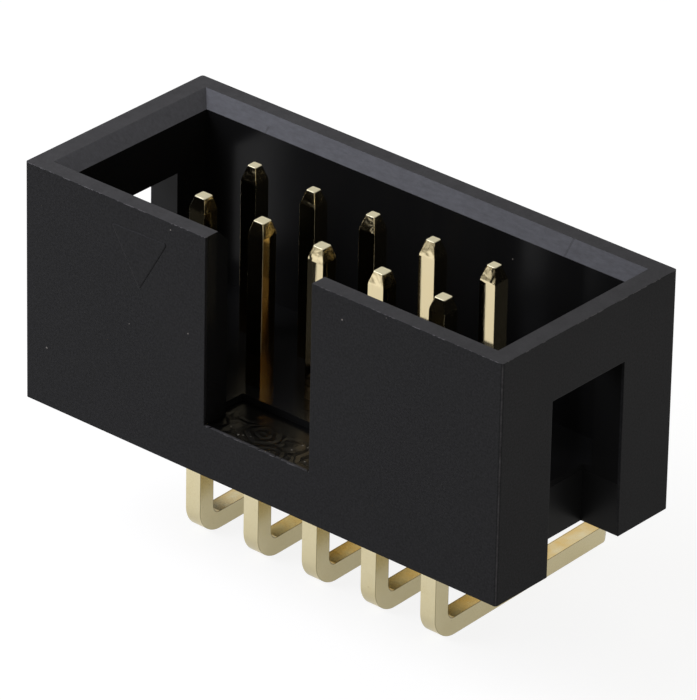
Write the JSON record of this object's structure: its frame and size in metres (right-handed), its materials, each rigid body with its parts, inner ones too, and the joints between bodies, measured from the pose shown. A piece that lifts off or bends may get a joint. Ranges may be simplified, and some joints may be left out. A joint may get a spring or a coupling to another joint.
{
  "type": "right-angle box header",
  "caption": "Right-angle shrouded pin header for a flat-cable plug: black keyed housing with two rows of bent square gold-plated contacts.",
  "frame": {"origin": "middle of the contact grid in the plane of the housing's lower edge, on the line that the plug slides along", "axes": "+X along the rows, +Y towards the circuit board (the way the tails point), +Z out of the mouth, against the way the plug goes in"},
  "size_m": [0.0202, 0.0116, 0.0131],
  "materials": {
    "housing_plastic": "black glass-filled polyester, fine moulded grain outside and polished inside",
    "contact_gold": "drawn square wire with a thin bright gold plate"
  },
  "bodies": {
    "root": {"housing": "housing_plastic", "contact_01": "contact_gold", "contact_02": "contact_gold", "contact_03": "contact_gold", "contact_04": "contact_gold", "contact_05": "contact_gold", "contact_06": "contact_gold", "contact_07": "contact_gold", "contact_08": "contact_gold", "contact_09": "contact_gold", "contact_10": "contact_gold"}
  },
  "joints": []
}
